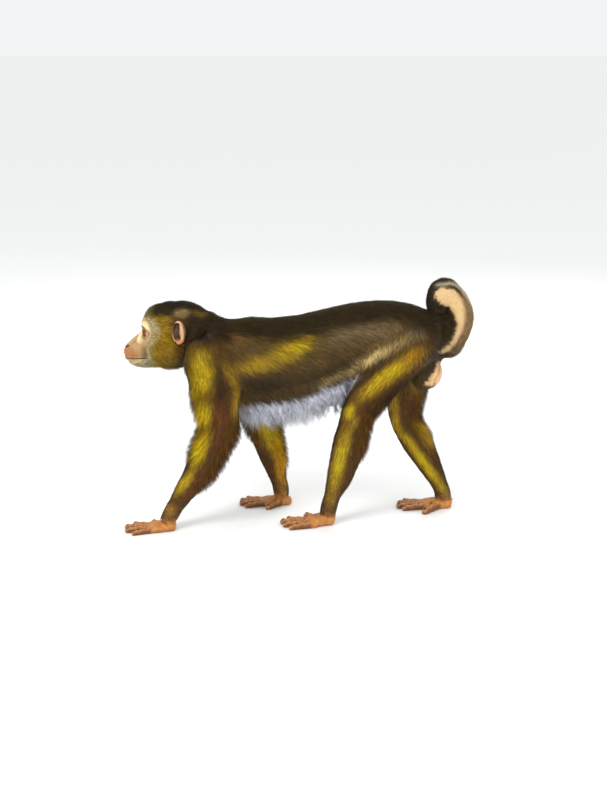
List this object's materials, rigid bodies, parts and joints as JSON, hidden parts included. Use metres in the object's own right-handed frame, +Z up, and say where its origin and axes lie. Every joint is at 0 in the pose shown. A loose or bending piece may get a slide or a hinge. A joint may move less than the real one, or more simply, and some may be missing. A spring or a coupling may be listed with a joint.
{
  "type": "northern pig-tailed macaque model",
  "caption": "Life-size still model of a northern pig-tailed macaque walking on all fours, its short tail curled up over the rump.",
  "frame": {"origin": "middle of the bounding box, on the floor that the animal stands on", "axes": "+Z up, +X towards the animal's tail, -X towards its face, -Y its left side"},
  "size_m": [0.5554, 0.202, 0.3914],
  "materials": {
    "coat": "fur",
    "bare_skin": "skin",
    "eye": "wet gloss"
  },
  "bodies": {
    "root": {"head": "coat", "ear_left": "bare_skin", "ear_right": "bare_skin", "eye_left": "eye", "eye_right": "eye", "neck": "coat", "chest": "coat", "loin": "coat", "rump": "coat", "upper_arm_left": "coat", "upper_arm_right": "coat", "forearm_left": "coat", "forearm_right": "coat", "hand_left": "bare_skin", "hand_right": "bare_skin", "thigh_left": "coat", "thigh_right": "coat", "shank_left": "coat", "shank_right": "coat", "foot_left": "bare_skin", "foot_right": "bare_skin", "tail_base": "coat", "tail_middle": "coat", "tail_tip": "coat", "perineal_swelling": "bare_skin"}
  },
  "joints": []
}
